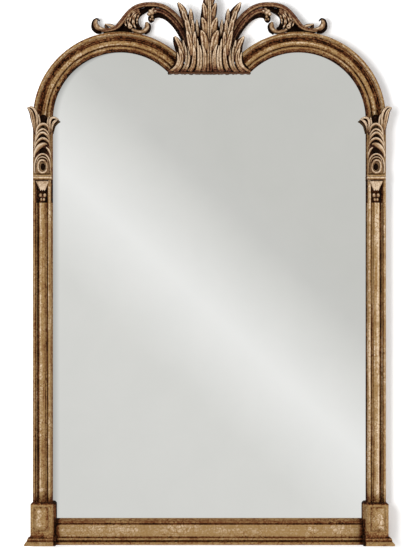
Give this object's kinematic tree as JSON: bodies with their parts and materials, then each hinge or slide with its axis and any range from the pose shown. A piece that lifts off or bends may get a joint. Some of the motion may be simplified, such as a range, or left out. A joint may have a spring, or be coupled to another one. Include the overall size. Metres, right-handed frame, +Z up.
{
  "type": "wall mirror",
  "caption": "Tall wall mirror in an antique gold frame with twin arches, plinth blocks, carved consoles and a pierced palmette crest",
  "frame": {"origin": "middle of the width, on the underside of the feet and base rail, in the plane of the front face of the glass", "axes": "+X to the viewer's right, +Y from the glass towards the wall, +Z up"},
  "size_m": [0.691, 0.061, 1.053],
  "materials": {
    "gilt_moulding": "antique gold leaf over brown size, worn and crackled, satin",
    "gilt_plinth": "antique gold leaf over brown size, rubbed pale on the edges, satin",
    "gilt_carving": "antique gold leaf on carved wood with dark patina in the cuts, satin",
    "mirror_glass": "plain silvered plate glass, polished",
    "backing_board": "brown hardboard",
    "bare_wood": "plain beech",
    "zinc_steel": "zinc plated",
    "bumper_rubber": "matt black"
  },
  "bodies": {
    "frame": {"left_stile": "gilt_moulding", "right_stile": "gilt_moulding", "base_rail": "gilt_moulding", "left_arch": "gilt_moulding", "right_arch": "gilt_moulding", "crest_backboard": "gilt_moulding", "left_plinth_block": "gilt_plinth", "right_plinth_block": "gilt_plinth", "left_plinth_panel": "gilt_plinth", "right_plinth_panel": "gilt_plinth", "left_plinth_foot": "gilt_plinth", "right_plinth_foot": "gilt_plinth", "left_console_scroll": "gilt_carving", "right_console_scroll": "gilt_carving", "left_console_leaf": "gilt_carving", "right_console_leaf": "gilt_carving", "left_console_ledge": "gilt_carving", "right_console_ledge": "gilt_carving", "left_husk_drop": "gilt_carving", "right_husk_drop": "gilt_carving", "crest_centre_leaf": "gilt_carving", "crest_left_inner_leaf": "gilt_carving", "crest_right_inner_leaf": "gilt_carving", "crest_left_outer_leaf": "gilt_carving", "crest_right_outer_leaf": "gilt_carving", "left_scroll_arm": "gilt_carving", "right_scroll_arm": "gilt_carving", "left_scroll_bud": "gilt_carving", "right_scroll_bud": "gilt_carving", "left_scroll_band": "gilt_carving", "right_scroll_band": "gilt_carving", "left_scroll_leaf": "gilt_carving", "right_scroll_leaf": "gilt_carving", "mirror_glass": "mirror_glass", "backing_board": "backing_board", "retaining_points": "zinc_steel", "frame_dowels": "bare_wood", "crest_dowels": "bare_wood", "crest_screws": "zinc_steel", "left_hanger_strap": "zinc_steel", "right_hanger_strap": "zinc_steel", "hanger_screws": "zinc_steel", "wall_bumpers": "bumper_rubber"},
    "left_ring": {"left_hanger_ring": "zinc_steel"},
    "right_ring": {"right_hanger_ring": "zinc_steel"}
  },
  "joints": [
    {"name": "left_ring_hinge", "type": "hinge", "parent": "frame", "child": "left_ring", "pos_m": [-0.3165, 0.013, 0.72], "axis": [1, 0, 0], "range_deg": [0, 180]},
    {"name": "right_ring_hinge", "type": "hinge", "parent": "frame", "child": "right_ring", "pos_m": [0.3165, 0.013, 0.72], "axis": [1, 0, 0], "range_deg": [0, 180]}
  ]
}
